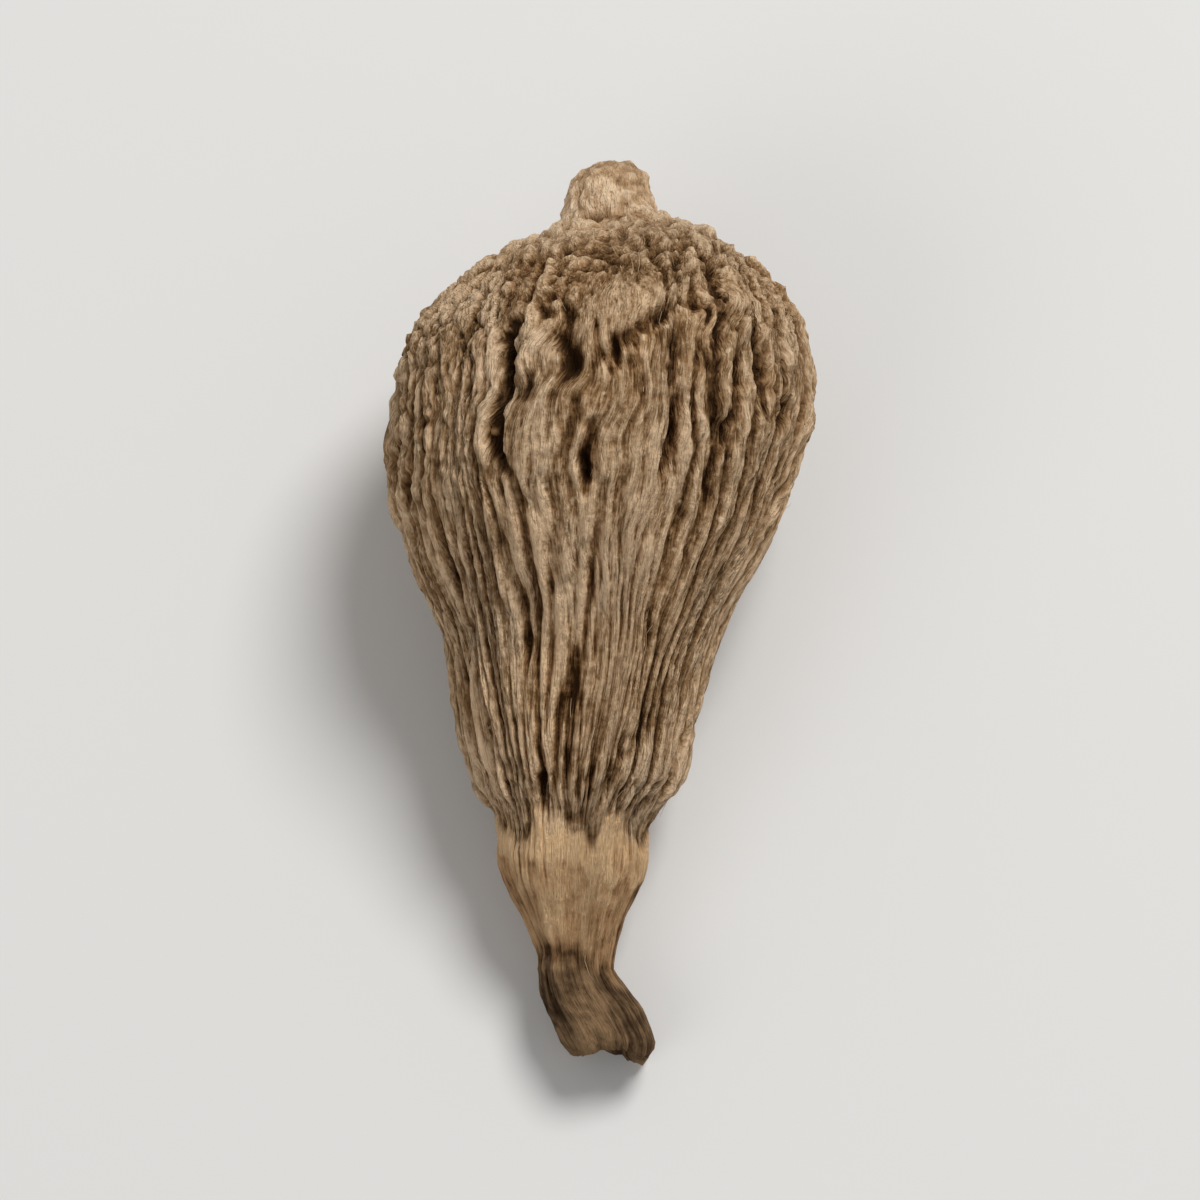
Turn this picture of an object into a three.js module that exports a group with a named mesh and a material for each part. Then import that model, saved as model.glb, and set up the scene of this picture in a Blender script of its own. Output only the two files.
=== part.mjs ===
// A dried black cardamom pod, lying on its side.
// The pod is one fruit, so it is one solid: a pear-shaped husk with lengthwise ribs, a stalk knob on
// its broad end, and a smooth calyx neck that is pinched in and ends in a short, broken-off tip.
// Units are millimetres, +Z is up, the knob points to +Y and the neck to -Y.
import * as THREE from "three";
import { mergeVertices } from "three/addons/utils/BufferGeometryUtils.js";

const { degToRad, lerp, smoothstep } = THREE.MathUtils;

// Driving dimensions
const POD_LENGTH = 30.2;
const BELLY_RADIUS = 7.1;
const KNOB_RADIUS = 1.5;
const COLLAR_RADIUS = 2.5;
const CREASE_RADIUS = 1.28;
const TIP_RADIUS = 1.42;

// Distances along the pod, measured from the top of the knob
const KNOB_ROOT = 1.9;
const SHOULDER = 5;
const BELLY = 8.4;
const RIBS_END = 20.9;
const COLLAR_START = 22.2;
const CREASE = 26.9;

// Ribs: the outline runs along their crests, and the furrows between them are sunk in
const RIB_COUNT = 28;
const FURROW_DEPTH = 0.55;
const NECK_FURROW_SHARE = 0.6;
const UNDERSIDE_FURROW_SHARE = 0.4;
const UNDERSIDE_EDGE = degToRad(143);

// Waves that make the ribs uneven in width, straightness and height
const RIB_WIDTH_WAVES = [
  { size: 0.055, around: 4, along: 0, turn: 0.6 },
  { size: 0.035, around: 7, along: 0, turn: 2.1 },
];
const RIB_WANDER_WAVES = [
  { size: 0.04, around: 2, along: 0.42, turn: 0.4 },
  { size: 0.02, around: 5, along: -0.75, turn: 1.7 },
];
const RIB_HEIGHT_WAVES = [
  { size: 0.3, around: 6, along: 0.38, turn: 0.9 },
  { size: 0.25, around: 11, along: -0.6, turn: 2.6 },
];

// What makes the pod irregular: three blunt sides, a slanted shoulder, a swaying and drooping neck
const SIDE_COUNT = 3;
const SIDE_BLUNTNESS = 0.03;
const SIDE_TURN = degToRad(25);
const SHOULDER_SLANT = 0.09;
const NECK_SWAY = -1.2;
const TIP_SWING = 1.2;
const NECK_DROOP = -1.9;

// How it lies: the neck dips towards the surface, and the belly is pressed to a small flat spot
const LYING_TILT = degToRad(9);
const FLAT_DEPTH = 0.42;

// Facets: a rib has a crest, a furrow and a flank on either side
const SEGMENTS = 4 * RIB_COUNT;
const ROWS_PER_SPAN = 2;
const MERGE_TOLERANCE = 1e-4;

// The outline from the top of the knob, over the belly and the neck, to the hollow of the broken tip,
// as distance along the pod and crest radius.
const OUTLINE = [
  [0, 0],
  [0.1, 0.45 * KNOB_RADIUS],
  [0.5, 0.82 * KNOB_RADIUS],
  [0.65 * KNOB_ROOT, KNOB_RADIUS],
  [KNOB_ROOT, 1.2 * KNOB_RADIUS],
  [0.3 * BELLY, 0.43 * BELLY_RADIUS],
  [0.44 * BELLY, 0.7 * BELLY_RADIUS],
  [0.62 * BELLY, 0.91 * BELLY_RADIUS],
  [BELLY, BELLY_RADIUS],
  [1.22 * BELLY, 0.97 * BELLY_RADIUS],
  [1.5 * BELLY, 0.85 * BELLY_RADIUS],
  [0.77 * RIBS_END, 0.62 * BELLY_RADIUS],
  [0.9 * RIBS_END, 0.54 * BELLY_RADIUS],
  [RIBS_END, 0.48 * BELLY_RADIUS],
  [COLLAR_START, COLLAR_RADIUS],
  [COLLAR_START + 1.8, 0.9 * COLLAR_RADIUS],
  [CREASE - 1.3, 1.22 * CREASE_RADIUS],
  [CREASE, CREASE_RADIUS],
  [POD_LENGTH - 1.4, TIP_RADIUS],
  [POD_LENGTH - 0.25, 0.92 * TIP_RADIUS],
  [POD_LENGTH, 0.75 * TIP_RADIUS],
  [POD_LENGTH - 0.4, 0.45 * TIP_RADIUS],
  [POD_LENGTH - 0.6, 0],
];

// The plain pod: the outline turned about the Y axis, with the knob's top at y = 0.
function turnedPod() {
  const points = OUTLINE.map(([along, radius]) => new THREE.Vector3(radius, -along, 0));
  const curve = new THREE.CatmullRomCurve3(points, false, "centripetal");
  const rows = ROWS_PER_SPAN * (points.length - 1);
  const rings = curve.getPoints(rows).map(({ x, y }) => new THREE.Vector2(x, y));
  const turned = new THREE.LatheGeometry(rings.reverse(), SEGMENTS);
  turned.deleteAttribute("normal");
  turned.deleteAttribute("uv");
  return mergeVertices(turned, MERGE_TOLERANCE);
}

// The sum of a list of waves at an angle round the pod and a distance along it.
function sumOfWaves(waves, angle, distance) {
  const heights = waves.map(({ size, around, along, turn }) => {
    return size * Math.sin(around * angle + along * distance + turn);
  });
  return heights.reduce((sum, height) => sum + height, 0);
}

// How deep a furrow is: deepest over the belly, shallower on the neck and on the underside that the
// pod lies on, and gone on the knob and the collar.
function furrowDepth(ribAngle, along) {
  const fadeIn = smoothstep(along, KNOB_ROOT, SHOULDER);
  const fadeOut = 1 - smoothstep(along, RIBS_END, COLLAR_START);
  const taper = lerp(1, NECK_FURROW_SHARE, smoothstep(along, BELLY, RIBS_END));
  const pressed = lerp(1, UNDERSIDE_FURROW_SHARE, smoothstep(Math.abs(ribAngle), UNDERSIDE_EDGE, Math.PI));
  const unevenness = 1 + sumOfWaves(RIB_HEIGHT_WAVES, ribAngle, along);
  return FURROW_DEPTH * fadeIn * fadeOut * taper * pressed * unevenness;
}

// Moves one point of the plain pod to its place on the ribbed, bent pod.
function shapePoint(point) {
  const along = -point.y;
  const radius = Math.hypot(point.x, point.z);
  const ribAngle = Math.atan2(point.x, point.z);

  const onBody = 1 - smoothstep(along, RIBS_END, COLLAR_START);
  const blunted = 1 + SIDE_BLUNTNESS * onBody * Math.cos(SIDE_COUNT * (ribAngle - SIDE_TURN));
  const furrow = 0.5 - 0.5 * Math.cos(RIB_COUNT * ribAngle);
  const carved = radius * blunted - furrow * furrowDepth(ribAngle, along);

  const widening = sumOfWaves(RIB_WIDTH_WAVES, ribAngle, along);
  const wander = sumOfWaves(RIB_WANDER_WAVES, ribAngle, along);
  const angle = ribAngle + widening + wander;
  const across = carved * Math.sin(angle);
  const upward = carved * Math.cos(angle);

  const slant = SHOULDER_SLANT * (1 - smoothstep(along, BELLY, RIBS_END));
  const sway = NECK_SWAY * smoothstep(along, SHOULDER, COLLAR_START);
  const swing = TIP_SWING * smoothstep(along, CREASE, POD_LENGTH);
  const droop = NECK_DROOP * smoothstep(along, BELLY, POD_LENGTH);
  point.set(across + sway + swing, slant * across - along, upward + droop);
}

// The whole pod, lying on its flat spot with the middle of its box over the origin.
function podGeometry() {
  const geometry = turnedPod();
  const places = geometry.getAttribute("position");
  const point = new THREE.Vector3();
  for (let i = 0; i < places.count; i += 1) {
    shapePoint(point.fromBufferAttribute(places, i));
    places.setXYZ(i, point.x, point.y, point.z);
  }
  geometry.rotateX(LYING_TILT);
  geometry.computeBoundingBox();
  geometry.translate(0, 0, -FLAT_DEPTH - geometry.boundingBox.min.z);
  for (let i = 0; i < places.count; i += 1) {
    places.setZ(i, Math.max(places.getZ(i), 0));
  }
  geometry.computeBoundingBox();
  const middle = geometry.boundingBox.getCenter(new THREE.Vector3());
  geometry.translate(-middle.x, -middle.y, 0);
  geometry.computeVertexNormals();
  return geometry;
}

const huskMaterial = new THREE.MeshStandardMaterial({ color: 0x765e46, roughness: 0.9, metalness: 0 });

const pod = new THREE.Mesh(podGeometry(), huskMaterial);
pod.name = "pod";

const part = new THREE.Group();
part.add(pod);

export default part;
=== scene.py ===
import math
import random

import bpy
import numpy as np
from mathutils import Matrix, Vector, noise


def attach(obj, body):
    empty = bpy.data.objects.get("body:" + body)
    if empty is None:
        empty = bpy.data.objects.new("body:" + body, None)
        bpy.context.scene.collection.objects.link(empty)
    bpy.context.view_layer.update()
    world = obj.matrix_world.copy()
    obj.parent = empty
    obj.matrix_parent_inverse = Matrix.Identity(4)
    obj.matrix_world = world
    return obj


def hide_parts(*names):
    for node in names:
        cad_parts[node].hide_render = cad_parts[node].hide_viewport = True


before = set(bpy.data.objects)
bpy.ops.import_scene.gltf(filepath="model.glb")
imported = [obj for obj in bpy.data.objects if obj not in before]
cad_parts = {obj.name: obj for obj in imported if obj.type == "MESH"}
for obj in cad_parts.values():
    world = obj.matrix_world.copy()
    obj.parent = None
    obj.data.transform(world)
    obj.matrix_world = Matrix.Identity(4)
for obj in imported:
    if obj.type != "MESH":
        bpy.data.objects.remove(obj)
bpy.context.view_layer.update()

# The husk
# The whole dried fruit, grown as one piece: a woody, fibrous wall that shrank round its seeds into ribs,
# with the pale stalk knob on its broad end and the smooth calyx collar and torn tip on its neck.
# Lengths are in millimetres from the knob's top, angles run from the side that faces up.
MM = 0.001
POD_LENGTH = 30.2
BELLY_RADIUS = 7.1
KNOB_RADIUS = 1.5
COLLAR_RADIUS = 2.5
CREASE_RADIUS = 1.28
TIP_RADIUS = 1.42
KNOB_ROOT = 1.9
SHOULDER = 5.0
BELLY = 8.4
RIBS_END = 20.9
COLLAR_START = 22.2
CREASE = 26.9
OUTLINE = [
    (0.0, 0.0),
    (0.1, 0.45 * KNOB_RADIUS),
    (0.5, 0.82 * KNOB_RADIUS),
    (0.65 * KNOB_ROOT, KNOB_RADIUS),
    (KNOB_ROOT, 1.2 * KNOB_RADIUS),
    (0.3 * BELLY, 0.43 * BELLY_RADIUS),
    (0.44 * BELLY, 0.7 * BELLY_RADIUS),
    (0.62 * BELLY, 0.91 * BELLY_RADIUS),
    (BELLY, BELLY_RADIUS),
    (1.22 * BELLY, 0.97 * BELLY_RADIUS),
    (1.5 * BELLY, 0.85 * BELLY_RADIUS),
    (0.77 * RIBS_END, 0.62 * BELLY_RADIUS),
    (0.9 * RIBS_END, 0.54 * BELLY_RADIUS),
    (RIBS_END, 0.48 * BELLY_RADIUS),
    (COLLAR_START, COLLAR_RADIUS),
    (COLLAR_START + 1.8, 0.9 * COLLAR_RADIUS),
    (CREASE - 1.3, 1.22 * CREASE_RADIUS),
    (CREASE, CREASE_RADIUS),
    (POD_LENGTH - 1.4, TIP_RADIUS),
    (POD_LENGTH - 0.25, 0.92 * TIP_RADIUS),
    (POD_LENGTH, 0.75 * TIP_RADIUS),
    (POD_LENGTH - 0.4, 0.45 * TIP_RADIUS),
    (POD_LENGTH - 0.6, 0.0),
]
COLUMNS = 448
ROWS = 224
TOP_CROWDING = 0.25
ROW_STOPS = [(0, 0.0), (20, 2.2), (117, 12.0), (183, 22.6), (203, CREASE)]


def smooth_rise(value, low, high):
    share = np.clip((value - low) / (high - low), 0.0, 1.0)
    return share * share * (3.0 - 2.0 * share)


def sum_of_waves(waves, angle, distance):
    return sum(
        size * np.sin(around * angle + along * distance + turn)
        for size, around, along, turn in waves
    )


# The outline is drawn as a smooth curve.
bpy.ops.object.select_all(action="DESELECT")
bpy.ops.curve.primitive_bezier_curve_add()
line = bpy.context.object
line.data.dimensions = "3D"
line.data.resolution_u = 24
spline = line.data.splines[0]
spline.bezier_points.add(len(OUTLINE) - 2)
for knot, (along, radius) in zip(spline.bezier_points, OUTLINE):
    knot.co = (radius, -along, 0.0)
    knot.handle_left_type = "AUTO"
    knot.handle_right_type = "AUTO"
bpy.ops.object.convert(target="MESH")
drawn = np.array([vertex.co for vertex in line.data.vertices])
bpy.data.objects.remove(line)
drawn_radius = drawn[:, 0]
drawn_along = -drawn[:, 1]
drawn_walked = np.concatenate([[0.0], np.cumsum(np.linalg.norm(np.diff(drawn, axis=0), axis=1))])
rim = drawn_along.argmax()

# A ball is pulled out to the outline: its rows are closest on the broad end, its columns on the top side.
bpy.ops.mesh.primitive_uv_sphere_add(segments=COLUMNS, ring_count=ROWS, radius=1.0)
husk = bpy.context.object
husk.name = "husk"
ball = np.empty(3 * len(husk.data.vertices))
husk.data.vertices.foreach_get("co", ball)
ball = ball.reshape(-1, 3)
row = np.rint(np.arccos(np.clip(ball[:, 2], -1.0, 1.0)) / math.pi * ROWS).astype(int)
ball_angle = np.arctan2(ball[:, 1], ball[:, 0])
column = np.rint(ball_angle / math.tau * COLUMNS).astype(int) % COLUMNS
rib_angle = ball_angle - TOP_CROWDING * np.sin(ball_angle)
stop_rows, stops_along = zip(*ROW_STOPS)
stops_walked = np.interp(stops_along, drawn_along[:rim + 1], drawn_walked[:rim + 1])
walked = np.interp(row, [*stop_rows, ROWS], [*stops_walked, drawn_walked[-1]])
outline_radius = np.interp(walked, drawn_walked, drawn_radius)
along = np.interp(walked, drawn_walked, drawn_along)
steepness = np.interp(walked, drawn_walked, np.gradient(drawn_radius, drawn_walked))
straightness = np.interp(walked, drawn_walked, np.gradient(drawn_along, drawn_walked))


def noise_at(places):
    return np.array([noise.noise(place, noise_basis="PERLIN_NEW") for place in places.tolist()])


def even_places(size, shift):
    flat = outline_radius / size
    return np.stack([flat * np.cos(rib_angle) + shift, flat * np.sin(rib_angle), along / size], axis=1)


def even_noise(size, shift):
    """Noise with lumps of this size in every direction."""
    return noise_at(even_places(size, shift))


def stretched_noise(around, length, shift):
    """Noise with this many lumps round the pod, each this long, and no seam."""
    ring = around / math.tau
    places = [ring * np.cos(rib_angle), ring * np.sin(rib_angle), walked / length + shift]
    return noise_at(np.stack(places, axis=1))


# The pod's main form, as it lies: ribs, blunt sides, slanted shoulder, swaying and drooping neck.
RIB_COUNT = 28
FURROW_DEPTH = 0.55
NECK_FURROW_SHARE = 0.6
UNDERSIDE_FURROW_SHARE = 0.4
UNDERSIDE_EDGE = math.radians(143)
RIB_WIDTH_WAVES = [(0.055, 4, 0.0, 0.6), (0.035, 7, 0.0, 2.1)]
RIB_WANDER_WAVES = [(0.04, 2, 0.42, 0.4), (0.02, 5, -0.75, 1.7)]
RIB_HEIGHT_WAVES = [(0.3, 6, 0.38, 0.9), (0.25, 11, -0.6, 2.6)]
SIDE_COUNT = 3
SIDE_BLUNTNESS = 0.03
SIDE_TURN = math.radians(25)
SHOULDER_SLANT = 0.09
NECK_SWAY = -1.2
TIP_SWING = 1.2
NECK_DROOP = -1.9
LYING_TILT = math.radians(9)
FLAT_DEPTH = 0.42

angle = rib_angle + sum_of_waves(RIB_WIDTH_WAVES + RIB_WANDER_WAVES, rib_angle, along)
to_right = np.clip(np.sin(angle), 0.0, 1.0)
to_left = np.clip(-np.sin(angle), 0.0, 1.0)


def blunted(radius, distance):
    on_body = 1.0 - smooth_rise(distance, RIBS_END, COLLAR_START)
    return radius * (1.0 + SIDE_BLUNTNESS * on_body * np.cos(SIDE_COUNT * (rib_angle - SIDE_TURN)))


def furrow_depth(distance):
    fade_in = smooth_rise(distance, KNOB_ROOT, SHOULDER)
    fade_out = 1.0 - smooth_rise(distance, RIBS_END, COLLAR_START)
    taper = 1.0 + (NECK_FURROW_SHARE - 1.0) * smooth_rise(distance, BELLY, RIBS_END)
    underside = smooth_rise(np.abs(rib_angle), UNDERSIDE_EDGE, math.pi)
    pressed = 1.0 + (UNDERSIDE_FURROW_SHARE - 1.0) * underside
    unevenness = 1.0 + sum_of_waves(RIB_HEIGHT_WAVES, rib_angle, distance)
    return FURROW_DEPTH * fade_in * fade_out * taper * pressed * unevenness


def laid_down(radius, distance):
    """The points at these radii and distances, on the swaying pod tilted to lie on its belly."""
    across = radius * np.sin(angle)
    slant = SHOULDER_SLANT * (1.0 - smooth_rise(along, BELLY, RIBS_END))
    sway = NECK_SWAY * smooth_rise(along, SHOULDER, COLLAR_START)
    sway += TIP_SWING * smooth_rise(along, CREASE, POD_LENGTH)
    back = slant * across - distance
    up = radius * np.cos(angle) + NECK_DROOP * smooth_rise(along, BELLY, POD_LENGTH)
    tilted_back = back * math.cos(LYING_TILT) - up * math.sin(LYING_TILT)
    tilted_up = back * math.sin(LYING_TILT) + up * math.cos(LYING_TILT)
    return np.stack([across + sway, tilted_back, tilted_up], axis=1)


plain_furrow = 0.5 - 0.5 * np.cos(RIB_COUNT * rib_angle)
plain = laid_down(blunted(outline_radius, along) - plain_furrow * furrow_depth(along), along)
lift = -FLAT_DEPTH - plain[:, 2].min()
middle = (plain.min(axis=0) + plain.max(axis=0)) / 2.0
rest_shift = np.array([-middle[0], -middle[1], lift])

# Where the parts of the pod are: the collar's top edge is ragged, with broad lobes and gaps between them.
LOBE_COUNT = 6
LOBE_TURN = math.radians(-20)
lobe = 0.5 + 0.5 * np.cos(LOBE_COUNT * (rib_angle - LOBE_TURN) + 1.2 * stretched_noise(5, 30.0, 31.0))
lobe_top = 23.1 - 0.9 * lobe
lobe_top += 0.8 * stretched_noise(9, 30.0, 37.0) + 0.7 * stretched_noise(24, 30.0, 39.0)
beside_knob = along - 0.7 * np.sin(angle)
ribbed = smooth_rise(beside_knob, 3.0, 5.6) * (1.0 - smooth_rise(along, 21.4, 23.0))
straight = smooth_rise(along, 8.0, 14.0)
crumpled = 1.0 - straight
tapering = smooth_rise(along, 14.0, 18.0)
near_knob = smooth_rise(along, 1.4, 2.4) * (1.0 - smooth_rise(beside_knob, 3.6, 5.8))
on_knob = 1.0 - smooth_rise(along + 1.1 * even_noise(0.8, 17.0), 1.8, 3.8)
on_collar = smooth_rise(along + 0.5 * even_noise(0.6, 91.0), lobe_top - 0.4, lobe_top + 0.4)
near_collar = smooth_rise(along, 18.5, 20.5) * (1.0 - smooth_rise(along, 22.0, 23.0))
crease_line = CREASE + 0.25 * np.sin(rib_angle - 0.6) + 0.5 * stretched_noise(6, 30.0, 67.0)
on_tip = smooth_rise(along + 0.5 * stretched_noise(26, 30.0, 69.0), crease_line - 0.2, crease_line + 0.6)
in_tip_hollow = smooth_rise(walked, drawn_walked[rim] - 0.1, drawn_walked[-1])

# Smoother patches of the skin, as angle in degrees, distance along, half width and half length
SMOOTH_PATCHES = [
    (9, 10.4, 1.2, 3.4),
    (4, 5.8, 1.3, 1.0),
    (-20, 7.0, 0.5, 0.9),
    (-17, 10.3, 0.6, 1.1),
    (-2, 15.0, 1.1, 3.6),
    (14, 16.5, 0.8, 3.0),
    (-48, 9.6, 1.2, 3.0),
    (140, 9.0, 1.4, 2.0),
    (-100, 8.0, 1.2, 1.6),
    (95, 14.0, 1.1, 3.0),
]


def aside_of(line_angle):
    """How far round the pod each point is from a line along it."""
    return (np.remainder(angle - line_angle + math.pi, math.tau) - math.pi) * outline_radius


def patch(angle_degrees, distance, half_width, half_length):
    """1 in the middle of a patch of the skin, falling to 0 round it."""
    aside = aside_of(math.radians(angle_degrees))
    return np.exp(-((aside / half_width) ** 2) - ((along - distance) / half_length) ** 2)


rugged = 1.0 - 0.85 * np.max([patch(*values) for values in SMOOTH_PATCHES], axis=0)

# Furrows between the ribs, with a finer one along the back of each rib
waver = stretched_noise(24, 1.8, 4.0)
phase = RIB_COUNT * rib_angle + 0.9 * stretched_noise(10, 7.0, 1.0)
phase += 1.8 * crumpled * stretched_noise(20, 2.2, 5.0) + 0.8 * straight * waver
valley = 0.5 - 0.5 * np.cos(phase)
back = 0.5 + 0.5 * np.cos(phase + 1.5 * stretched_noise(28, 6.0, 8.0))
furrow_share = np.clip(0.8 + 1.5 * stretched_noise(18, 6.0, 6.0), 0.1, 1.6)
back_share = np.clip(0.5 + 1.6 * stretched_noise(26, 7.0, 12.0), 0.0, 1.0)
furrows = furrow_share * (0.3 * valley + 0.4 * valley**8) + 0.45 * back_share * back**8
depth = furrow_depth(along) * (1.0 + 0.6 * straight + 0.5 * tapering) * furrows * rugged

# Fibres are short and winding on the broad end, long and straight towards the neck.
fibre_along = np.interp(walked, [0.0, 10.0, 14.0, 32.0], [0.0, 14.0, 17.0, 24.0])
fibre_angle = rib_angle + (0.008 + 0.06 * crumpled) * even_noise(1.5, 13.0)
fibre_angle += 0.02 * stretched_noise(12, 5.0, 2.0) + 0.02 * straight * waver
fibre_ring = (outline_radius / BELLY_RADIUS) ** np.where(along < BELLY, 1.0, 0.15)


def fibre_places(width, length, shift):
    ring = BELLY_RADIUS / width * fibre_ring
    places = [ring * np.cos(fibre_angle), ring * np.sin(fibre_angle), fibre_along / length + shift]
    return np.stack(places, axis=1)


def winding_lines(width, length, spread, shift):
    """Lines that wind along the pod, about this far apart: 1 on a line, 0 beside it."""
    return np.clip(1.0 - np.abs(noise_at(fibre_places(width, length, shift))) / spread, 0.0, 1.0)


def cells_at(places):
    """Cells of the skin: how far each point is from its cell's edge, and a value for its cell."""
    found = [noise.voronoi(place) for place in places.tolist()]
    edge = np.array([distances[1] - distances[0] for distances, centres in found])
    value = np.array([noise.cell(centres[0]) for distances, centres in found])
    return edge, value


# Ridges and slits of the crumpled skin wind along the fibres, with single strands and threads between them.
strand_edge, strand_value = cells_at(fibre_places(0.5, 2.4, 21.0))
thread_edge = cells_at(fibre_places(0.24, 1.3, 33.0))[0]
broken = np.clip(0.8 + 2.0 * even_noise(1.1, 85.0), 0.1, 1.7) * rugged
folds = (0.06 + 0.08 * crumpled) * broken * (0.45 - winding_lines(0.8, 2.6, 0.4, 71.0))
folds += (0.10 + 0.14 * crumpled) * broken * (winding_lines(0.75, 2.8, 0.14, 73.0) - 0.2)
folds += (0.2 + 0.8 * crumpled) * rugged**0.5 * (0.20 * even_noise(1.4, 3.0) + 0.15 * even_noise(0.6, 5.0))
folds += near_collar * (0.12 * even_noise(0.9, 87.0) + 0.10 * even_noise(0.45, 89.0))
roughest = np.maximum(patch(52, 7.2, 2.8, 2.4), patch(-140, 7.0, 2.6, 2.2))
folds += roughest * (0.24 * even_noise(0.5, 101.0) + 0.16 * even_noise(0.28, 103.0))
skin = np.where(folds < 0.0, 0.4 * folds, folds)
skin += 0.06 * (0.45 - winding_lines(0.36, 1.5, 0.4, 75.0))
skin += 0.10 * (winding_lines(0.34, 1.6, 0.2, 77.0) - 0.25)
skin += (0.08 + 0.06 * straight) * np.clip(1.0 - strand_edge / 0.6, 0.0, 1.0)
skin += 0.07 * np.clip(1.0 - thread_edge / 0.6, 0.0, 1.0)
skin += 0.10 * (strand_value - 0.5) + (0.4 + 0.6 * crumpled) * 0.09 * even_noise(0.3, 25.0)
depth += ribbed * (1.0 - 0.5 * near_knob) * (skin - 0.08)

# Cracks and folds that catch the eye, each from one place to another, as angle in degrees and distance
# along, with its half width and its depth. A fold stands out, so its depth is below nought.
MARKS = [
    (-30, 5.8, -31, 11.0, 0.22, 0.70),
    (-31, 10.6, -20, 12.4, 0.28, 0.26),
    (-35, 6.2, -36, 10.8, 0.26, -0.25),
    (-28, 5.8, -28, 6.6, 0.26, 0.35),
    (-12, 5.7, -11, 8.3, 0.40, 0.65),
    (-4, 9.6, -3, 12.0, 0.20, 0.70),
    (-8, 9.6, -7, 11.6, 0.20, -0.15),
    (21, 6.3, 20, 9.4, 0.22, -0.20),
    (20, 9.0, 18, 11.8, 0.16, 0.45),
    (36, 9.6, 35, 10.8, 0.15, 0.40),
    (-7, 8.2, 17, 6.0, 0.45, 0.26),
    (-7, 7.6, 17, 5.4, 0.40, -0.16),
    (2, 12.0, 1, 17.0, 0.16, 0.30),
    (-14, 13.0, -16, 19.0, 0.18, 0.35),
    (-28, 15.0, -28, 17.4, 0.20, 0.35),
    (-22, 20.8, -22, 22.2, 0.22, 0.45),
    (-2, 16.3, -5, 21.2, 0.30, 0.35),
    (26, 19.4, 25, 21.8, 0.25, 0.30),
    (53, 20.9, 53, 22.3, 0.25, 0.35),
    (9, 10.4, 12, 13.0, 0.35, -0.12),
    (150, 5.5, 146, 9.5, 0.18, 0.55),
    (-120, 6.5, -116, 11.0, 0.16, 0.55),
    (95, 7.0, 92, 12.5, 0.16, 0.55),
]
wander = (1.0 - 0.7 * straight) * (0.30 * even_noise(1.1, 57.0) + 0.12 * even_noise(0.4, 58.0))
mark_share = np.clip(0.95 + 1.0 * even_noise(1.2, 56.0), 0.5, 1.3)
for from_angle, from_along, to_angle, to_along, half_width, mark_depth in MARKS:
    share = np.clip((along - from_along) / (to_along - from_along), -0.2, 1.2)
    aside = aside_of(np.radians(from_angle + (to_angle - from_angle) * share)) + wander
    ends = smooth_rise(share, -0.1, 0.25) * (1.0 - smooth_rise(share, 0.75, 1.1))
    depth += mark_depth * mark_share * ends * np.exp(-((aside / half_width) ** 2))

# Raised lumps, as angle in degrees, distance along, half width, half length and height
LUMPS = [
    (4, 5.8, 1.2, 0.9, 0.30),
    (-20, 7.2, 0.6, 1.3, 0.10),
    (-17, 10.3, 0.8, 1.2, 0.08),
    (16, 2.8, 0.7, 0.5, 0.22),
    (-13, 3.1, 0.7, 0.5, 0.20),
    (30, 3.6, 0.8, 0.6, 0.18),
    (-38, 3.5, 0.8, 0.6, 0.16),
    (60, 2.2, 0.8, 0.5, 0.25),
    (110, 3.0, 0.8, 0.6, 0.20),
    (-150, 3.2, 0.8, 0.6, 0.20),
]
for *values, lump_height in LUMPS:
    depth -= lump_height * patch(*values)

# Knob and the crust round its root
crust = 0.14 * even_noise(0.8, 7.0) + 0.14 * even_noise(0.42, 9.0) + 0.09 * even_noise(0.22, 10.0)
crust += 0.12 * (0.4 - np.clip(1.0 - np.abs(even_noise(0.6, 79.0)) / 0.3, 0.0, 1.0))
grit = 0.12 * even_noise(0.32, 109.0) + 0.07 * even_noise(0.18, 111.0)
knob_cover = (1.0 - smooth_rise(along, 1.6, 2.6)) * (0.7 + 0.3 * smooth_rise(walked, 0.8, 1.8))
depth += knob_cover * (0.8 * crust + 0.5 * grit + 0.03)
crack_bend = 0.35 * np.stack([even_noise(0.9, 93.0), even_noise(0.9, 95.0), even_noise(0.9, 97.0)], axis=1)
crack_edge, crack_value = cells_at(even_places(1.2, 19.0) + crack_bend)
cracks = np.exp(-((crack_edge / 0.28) ** 2))
crack_lumps = (crack_value - 0.5) * np.clip(crack_edge / 0.5, 0.0, 1.0)
depth += near_knob * (0.45 * crust + grit + 0.12 * crack_lumps + 0.26 * cracks)
knob_root = 2.05 + 0.5 * even_noise(1.2, 29.0)
root_crease = np.clip(0.08 + 0.6 * even_noise(0.8, 59.0), 0.0, 0.35)
depth += root_crease * np.exp(-(((along - knob_root) / 0.25) ** 2))

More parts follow.
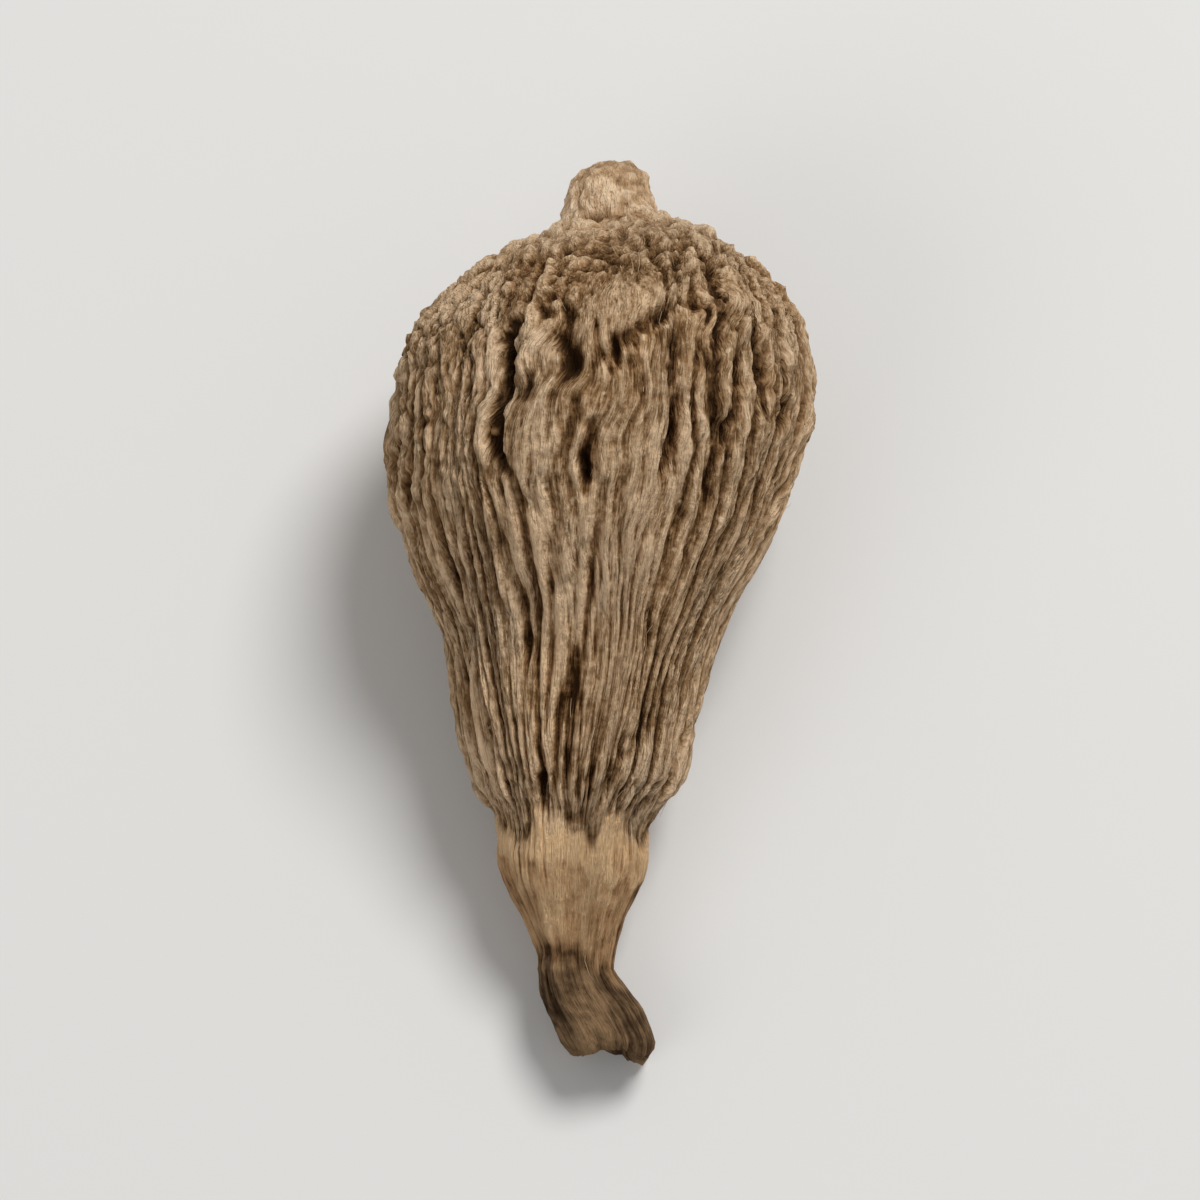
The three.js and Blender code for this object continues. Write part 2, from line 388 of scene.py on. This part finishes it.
# Collar with its lobes, the crease below it, and the wrinkled tip
notch_lines = winding_lines(0.7, 4.0, 0.25, 99.0)
notch_lines *= smooth_rise(along, 21.0, 22.4) * (1.0 - smooth_rise(along, 23.0, 24.8))
lobe_rim = smooth_rise(along, lobe_top - 0.3, lobe_top + 0.3)
lobe_rim *= 1.0 - smooth_rise(along, lobe_top + 0.4, lobe_top + 2.0)
rim_line = np.exp(-(((along - lobe_top + 0.3) / 0.25) ** 2))
depth += 0.11 * notch_lines - 0.06 * lobe_rim + 0.03 * rim_line
pleats = 0.05 * (1.0 - lobe) * (1.0 - smooth_rise(along, 23.5, 26.0))
pleats += 0.06 * stretched_noise(40, 5.0, 43.0)
pleats += 0.16 * stretched_noise(9, 8.0, 41.0) + 0.05 * even_noise(0.5, 81.0)
rag_edge = 23.9 + 1.2 * stretched_noise(7, 30.0, 105.0) + 0.7 * stretched_noise(20, 30.0, 107.0)
on_rag = 1.0 - smooth_rise(along, rag_edge - 0.15, rag_edge + 0.15)
depth += on_collar * (pleats - 0.07 * on_rag)
depth += (0.06 + 0.25 * stretched_noise(7, 9.0, 61.0)) * np.exp(-(((along - crease_line) / 0.35) ** 2))
wrinkles = 0.25 * stretched_noise(6, 4.0, 47.0) + 0.16 * stretched_noise(22, 4.0, 49.0)
wrinkles += 0.10 * np.abs(stretched_noise(36, 3.0, 83.0)) + 0.06 * even_noise(0.3, 63.0)
depth += on_tip * (1.0 - in_tip_hollow) * wrinkles

# The tip is torn off: slanting, with a ragged rim round a hollow.
torn = 0.45 * (0.5 - 0.5 * np.sin(angle)) + 0.35 * stretched_noise(7, 30.0, 51.0)
torn += 0.3 * stretched_noise(18, 30.0, 53.0)
reach = along - smooth_rise(along, 28.0, 30.0) * np.clip(torn, 0.0, 1.2) - 0.9 * in_tip_hollow

# The tip flares, and the pod is a little fuller or slimmer in places on its right and left side.
flare = 1.0 + 0.16 * smooth_rise(along, CREASE, CREASE + 1.8)
radius = blunted(outline_radius, along) * flare
radius -= 0.3 * to_left * np.exp(-(((along - 20.7) / 1.2) ** 2))
radius += 0.3 * to_right * smooth_rise(along, 7.0, 10.0) * (1.0 - smooth_rise(along, 20.8, 23.0))
radius += 0.2 * to_left * smooth_rise(along, 9.5, 11.5) * (1.0 - smooth_rise(along, 24.0, 27.0))
radius += 0.25 * to_left * np.exp(-(((along - 3.2) / 0.8) ** 2))

# Nothing stands out far, and every hollow is sunk square to the skin.
STANDS_OUT = 0.2
depth = np.where(depth < 0.0, STANDS_OUT * np.tanh(depth / STANDS_OUT), depth)
carved = laid_down(np.maximum(radius - depth * straightness, 0.0), reach + depth * steepness) + rest_shift
carved[:, 2] = np.maximum(carved[:, 2], 0.0)
husk.data.vertices.foreach_set("co", (carved * MM).ravel())
husk.data.update()
bpy.ops.object.shade_smooth()


# How far each point stands out of its neighbourhood, from 0 in a furrow to 1 on a crest
def around_mean(sheet, reach_columns, reach_rows):
    total = sum(np.roll(sheet, step, axis=1) for step in range(-reach_columns, reach_columns + 1))
    total = total / (2 * reach_columns + 1)
    padded = np.pad(total, ((reach_rows, reach_rows), (0, 0)), mode="edge")
    return sum(padded[step:step + len(sheet)] for step in range(2 * reach_rows + 1)) / (2 * reach_rows + 1)


depth_sheet = np.zeros((ROWS + 1, COLUMNS))
depth_sheet[row, column] = depth
fine_hollow = (depth_sheet - around_mean(depth_sheet, 4, 2))[row, column]
broad_hollow = (depth_sheet - around_mean(depth_sheet, 16, 8))[row, column]
# The colour follows these hollows: darker in furrows and hollows, partly the husk's own darker furrows and
# partly painted shade
hollow = (2.8 + 0.7 * tapering) * fine_hollow + (1.6 + 0.8 * tapering) * broad_hollow
crest = 0.5 - 0.5 * np.tanh(hollow)
# Painted highlight along each collar lobe, just inside its raised top edge
crest += 0.20 * lobe * np.exp(-(((along - lobe_top - 0.5) / 0.6) ** 2))

# Paler and darker patches, as angle in degrees, distance along, half width, half length and paleness
PALE_PATCHES = [
    (-60, 4.3, 2.6, 1.1, 0.20),
    (4, 4.8, 2.0, 0.9, -0.10),
    (-36, 7.2, 0.35, 1.2, 0.30),
    (2, 11.0, 1.2, 1.6, 0.10),
    (-20, 13.4, 1.4, 2.2, 0.20),
    (20, 13.4, 1.4, 2.4, 0.20),
    (0, 18.4, 0.7, 2.0, -0.16),
    (17, 18.6, 0.6, 2.6, 0.16),
    (-16, 17.0, 0.5, 1.8, 0.14),
    (-58, 20.3, 0.7, 1.4, 0.22),
    (58, 20.2, 0.6, 1.3, 0.18),
    (0, 24.2, 1.8, 1.8, 0.12),
]
for *values, paleness in PALE_PATCHES:
    crest += paleness * patch(*values)
crest += 0.03 + 0.06 * straight - 0.04 * tapering + 0.14 * (1.0 - rugged) + 0.03 * near_knob
crest += 0.08 * near_collar * (1.0 - on_collar)
# The collar is a little paler overall and on its ragged upper band; its left and right sides are darkened
# with painted shade
crest += on_collar * (0.04 + 0.08 * on_rag - 0.14 * np.sin(angle) ** 2)
# The tip is a little paler, more so towards its torn end, and the hollow in its end is darkened with
# painted shade
crest += 0.05 * on_tip + 0.12 * on_tip * smooth_rise(along, 28.4, 30.0) - 0.5 * in_tip_hollow


def store(name, kind, values):
    layer = husk.data.attributes.new(name, kind, "POINT")
    field = "vector" if kind == "FLOAT_VECTOR" else "value"
    layer.data.foreach_set(field, values.astype(np.float32).ravel())


store("crest", "FLOAT", crest)
store("knob", "FLOAT", on_knob)
store("collar", "FLOAT", on_collar)
store("tip", "FLOAT", on_tip)
store("tone", "FLOAT", strand_value)
fibre_way_x = fibre_ring * np.cos(fibre_angle)
fibre_way_y = fibre_ring * np.sin(fibre_angle)
store("fibre_way", "FLOAT_VECTOR", np.stack([fibre_way_x, fibre_way_y, walked / 60.0], axis=1))

# Dry husk: pale rubbed crests over dark furrows, streaked along the fibres; the furrows' dark is partly
# their own colour and partly painted shade
husk_material = bpy.data.materials.new("dry_husk")
husk_material.use_nodes = True
tree = husk_material.node_tree
shader = tree.nodes["Principled BSDF"]


def node(kind, settings=None, **sockets):
    made = tree.nodes.new(kind)
    for name, value in (settings or {}).items():
        setattr(made, name, value)
    for name, value in sockets.items():
        socket = made.inputs[int(name[1:]) if name[0] == "i" and name[1:].isdigit() else name]
        if isinstance(value, bpy.types.NodeSocket):
            tree.links.new(value, socket)
        else:
            socket.default_value = value
    return made


def attribute(name):
    return node("ShaderNodeAttribute", {"attribute_name": name})


def sum_of(first, second):
    return node("ShaderNodeMath", {"operation": "ADD"}, i0=first, i1=second).outputs[0]


def scaled(value, factor, offset=0.0):
    return node("ShaderNodeMath", {"operation": "MULTIPLY_ADD"}, i0=value, i1=factor, i2=offset).outputs[0]


def spread(value, low, high, at_low, at_high):
    return node("ShaderNodeMapRange", i0=value, i1=low, i2=high, i3=at_low, i4=at_high).outputs[0]


def mixed(share, first, second):
    made = node("ShaderNodeMix", {"data_type": "RGBA"}, i0=share, i6=first, i7=second)
    return made.outputs[2]


def ramp(value, stops):
    made = node("ShaderNodeValToRGB", i0=value)
    elements = made.color_ramp.elements
    while len(elements) < len(stops):
        elements.new(0.5)
    for element, (place, colour) in zip(elements, stops):
        element.position = place
        element.color = (*colour, 1.0)
    return made.outputs[0]


fibre_way = attribute("fibre_way").outputs["Vector"]
object_place = node("ShaderNodeTexCoord").outputs["Object"]


def speckle(place, scale, detail):
    """Noise between about -1 and 1."""
    made = node("ShaderNodeTexNoise", Vector=place, Scale=scale, Detail=detail, Roughness=0.6)
    return scaled(made.outputs[0], 4.0, -2.0)


def thin_lines(scale):
    """Thin lines that wind along the fibres: -1 on a line, 0 beside it."""
    away = node("ShaderNodeMath", {"operation": "ABSOLUTE"}, i0=speckle(fibre_way, scale, 2.0)).outputs[0]
    return spread(away, 0.0, 0.35, -1.0, 0.0)


bands = speckle(fibre_way, 9.0, 2.0)
streaks = speckle(fibre_way, 32.0, 4.0)
threads = speckle(fibre_way, 110.0, 3.0)
lines = sum_of(thin_lines(26.0), thin_lines(55.0))
mottle = speckle(object_place, 500.0, 4.0)
grain = speckle(object_place, 3600.0, 4.0)
crest_value = attribute("crest").outputs["Fac"]
layers = {
    "bands": bands,
    "streaks": streaks,
    "threads": threads,
    "lines": lines,
    "mottle": mottle,
    "grain": grain,
}


def shade(crest_share, **shares):
    """How pale the skin is, from 0 to 1."""
    value = scaled(crest_value, crest_share, 0.5 - 0.5 * crest_share)
    for name, share in shares.items():
        value = sum_of(value, scaled(layers[name], share))
    return value


HUSK_COLOURS = [
    (0.02, (0.042, 0.017, 0.005)),
    (0.25, (0.138, 0.066, 0.023)),
    (0.52, (0.328, 0.183, 0.081)),
    (0.98, (0.78, 0.540, 0.325)),
]
GREY_HUSK_COLOURS = [
    (0.02, (0.036, 0.018, 0.007)),
    (0.25, (0.122, 0.065, 0.028)),
    (0.52, (0.303, 0.186, 0.093)),
    (0.98, (0.76, 0.560, 0.370)),
]
husk_shade = shade(1.25, bands=0.04, streaks=0.12, threads=0.12, lines=0.12, mottle=0.12, grain=0.20)
husk_shade = sum_of(husk_shade, scaled(thin_lines(38.0), -0.14, -0.03))
husk_shade = sum_of(husk_shade, scaled(attribute("tone").outputs["Fac"], 0.16, 0.0))
greyness = spread(speckle(object_place, 170.0, 2.0), -0.7, 0.7, 0.0, 0.8)
colour = mixed(greyness, ramp(husk_shade, HUSK_COLOURS), ramp(husk_shade, GREY_HUSK_COLOURS))
fleck = spread(speckle(object_place, 1900.0, 1.0), 0.8, 1.05, 0.0, 0.8)
on_crest = spread(crest_value, 0.45, 0.75, 0.0, 1.0)
fleck_share = node("ShaderNodeMath", {"operation": "MULTIPLY"}, i0=fleck, i1=on_crest).outputs[0]
colour = mixed(fleck_share, colour, (0.86, 0.66, 0.43, 1.0))
COLLAR_COLOURS = [(0.05, (0.12, 0.060, 0.025)), (0.5, (0.60, 0.345, 0.166)), (0.95, (0.86, 0.570, 0.310))]
collar_shade = shade(2.2, bands=0.24, streaks=0.14, lines=0.10, mottle=0.32, grain=0.12)
colour = mixed(attribute("collar").outputs["Fac"], colour, ramp(collar_shade, COLLAR_COLOURS))
KNOB_COLOURS = [(0.05, (0.20, 0.104, 0.045)), (0.5, (0.62, 0.405, 0.228)), (0.95, (0.92, 0.690, 0.46))]
knob_shade = shade(1.5, mottle=0.22, grain=0.28)
colour = mixed(attribute("knob").outputs["Fac"], colour, ramp(knob_shade, KNOB_COLOURS))
TIP_COLOURS = [(0.05, (0.026, 0.013, 0.006)), (0.5, (0.138, 0.080, 0.040)), (0.95, (0.42, 0.26, 0.135))]
tip_shade = shade(1.5, bands=0.12, streaks=0.14, lines=0.10, mottle=0.18, grain=0.12)
colour = mixed(attribute("tip").outputs["Fac"], colour, ramp(tip_shade, TIP_COLOURS))
tree.links.new(colour, shader.inputs["Base Color"])

roughness = spread(grain, -1.0, 1.0, 0.8, 0.97)
tree.links.new(roughness, shader.inputs["Roughness"])
shader.inputs["Specular IOR Level"].default_value = 0.07
bump_height = sum_of(sum_of(streaks, scaled(lines, 0.8)), sum_of(scaled(threads, 0.5), scaled(grain, 0.7)))
bump = node("ShaderNodeBump", Strength=0.9, Distance=0.00005, Height=bump_height)
tree.links.new(bump.outputs[0], shader.inputs["Normal"])
husk.data.materials.append(husk_material)

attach(husk, "root")
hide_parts("pod")

# The loose fibres
# Straw-coloured hairs that have split off the dry husk: each is still rooted in it, lies along a rib and
# lifts off towards its free end.
FIBRE_COUNT = 90
FIBRE_THICKNESS = 0.035
FIBRE_STEPS = 6
FIBRE_ROOT_DEPTH = 0.04
FIRST_ROOT_ROW = 26
LAST_ROOT_ROW = 196
FIRST_ROW = 22
LAST_ROW = 206
SIDE_SHARE = 0.33
chance = random.Random(7)
normals = np.empty(3 * len(husk.data.vertices))
husk.data.vertex_normals.foreach_get("vector", normals)
place_sheet = np.zeros((ROWS + 1, COLUMNS, 3))
place_sheet[row, column] = carved
normal_sheet = np.zeros((ROWS + 1, COLUMNS, 3))
normal_sheet[row, column] = normals.reshape(-1, 3)

bpy.ops.object.select_all(action="DESELECT")
bpy.ops.curve.primitive_bezier_curve_add()
fibres = bpy.context.object
fibres.name = "loose_fibres"
fibres.data.dimensions = "3D"
fibres.data.splines.clear()
fibres.data.bevel_depth = 0.5 * FIBRE_THICKNESS * MM
fibres.data.bevel_resolution = 1
fibres.data.use_fill_caps = True
for _ in range(FIBRE_COUNT):
    start_row = chance.randint(FIRST_ROOT_ROW, LAST_ROOT_ROW)
    start_column = chance.uniform(-SIDE_SHARE, SIDE_SHARE) * COLUMNS
    step_rows = chance.choice((-1, 1)) * chance.uniform(1.0, 2.4)
    drift = chance.uniform(-1.0, 1.0)
    lift_end = chance.uniform(0.05, 0.16)
    hair = fibres.data.splines.new("POLY")
    hair.points.add(FIBRE_STEPS)
    for step, point in enumerate(hair.points):
        at_row = int(np.clip(start_row + step_rows * step, FIRST_ROW, LAST_ROW))
        at_column = int(start_column + drift * step) % COLUMNS
        lift_here = (lift_end + FIBRE_ROOT_DEPTH) * (step / FIBRE_STEPS) ** 2 - FIBRE_ROOT_DEPTH
        place = place_sheet[at_row, at_column] + lift_here * normal_sheet[at_row, at_column]
        point.co = (*(place * MM), 1.0)
        point.radius = 1.0 - 0.12 * step
bpy.ops.object.convert(target="MESH")
fibres = bpy.context.object
bpy.ops.object.shade_smooth()
fibre_material = bpy.data.materials.new("loose_fibre")
fibre_material.use_nodes = True
tree = fibre_material.node_tree
fibre_shader = tree.nodes["Principled BSDF"]
FIBRE_COLOURS = [(0.1, (0.34, 0.205, 0.10)), (0.9, (0.70, 0.52, 0.33))]
fibre_place = node("ShaderNodeTexCoord").outputs["Object"]
fibre_shade = scaled(speckle(fibre_place, 600.0, 2.0), 0.5, 0.5)
tree.links.new(ramp(fibre_shade, FIBRE_COLOURS), fibre_shader.inputs["Base Color"])
fibre_shader.inputs["Roughness"].default_value = 0.85
fibre_shader.inputs["Specular IOR Level"].default_value = 0.2
fibres.data.materials.append(fibre_material)

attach(fibres, "root")

# The floor
# A plain pale table top that the pod lies on.
bpy.ops.object.select_all(action="DESELECT")
bpy.ops.mesh.primitive_plane_add(size=4.0)
floor = bpy.context.object
floor.name = "floor"
floor_material = bpy.data.materials.new("pale_table")
floor_material.use_nodes = True
floor_shader = floor_material.node_tree.nodes["Principled BSDF"]
floor_shader.inputs["Base Color"].default_value = (0.78, 0.77, 0.75, 1.0)
floor_shader.inputs["Roughness"].default_value = 0.8
floor.data.materials.append(floor_material)


# The light
# One large soft light from behind on the right, a weak one from the front left, and an even pale room.
def soft_light(name, place, aim, size, power):
    data = bpy.data.lights.new(name, "AREA")
    data.shape = "DISK"
    data.size = size
    data.energy = power
    lamp = bpy.data.objects.new(name, data)
    bpy.context.scene.collection.objects.link(lamp)
    lamp.location = place
    lamp.rotation_euler = (Vector(aim) - Vector(place)).to_track_quat("-Z", "Y").to_euler()


soft_light("key_light", (0.18, 0.24, 0.44), (0.0, 0.0, 0.006), 0.22, 2.0)
soft_light("fill_light", (-0.35, -0.30, 0.40), (0.0, 0.0, 0.006), 0.40, 0.5)
room = bpy.data.worlds.new("pale_room")
room.use_nodes = True
room.node_tree.nodes["Background"].inputs["Color"].default_value = (1.0, 1.0, 1.0, 1.0)
room.node_tree.nodes["Background"].inputs["Strength"].default_value = 0.31
bpy.context.scene.world = room
bpy.context.scene.view_settings.view_transform = "Standard"

# The camera
# It looks down along the pod from the neck's side, with the knob at the top of the picture.
CAMERA_ELEVATION = math.radians(75)
CAMERA_DISTANCE = 0.19
aim = Vector((0.0, 0.0002, 0.0055))
camera_data = bpy.data.cameras.new("camera")
camera_data.lens = 170.0
camera_data.clip_start = 0.005
camera_data.clip_end = 20.0
camera = bpy.data.objects.new("camera", camera_data)
bpy.context.scene.collection.objects.link(camera)
towards_camera = Vector((0.0, -math.cos(CAMERA_ELEVATION), math.sin(CAMERA_ELEVATION)))
camera.location = aim + CAMERA_DISTANCE * towards_camera
camera.rotation_euler = (aim - camera.location).to_track_quat("-Z", "Y").to_euler()
bpy.context.scene.camera = camera
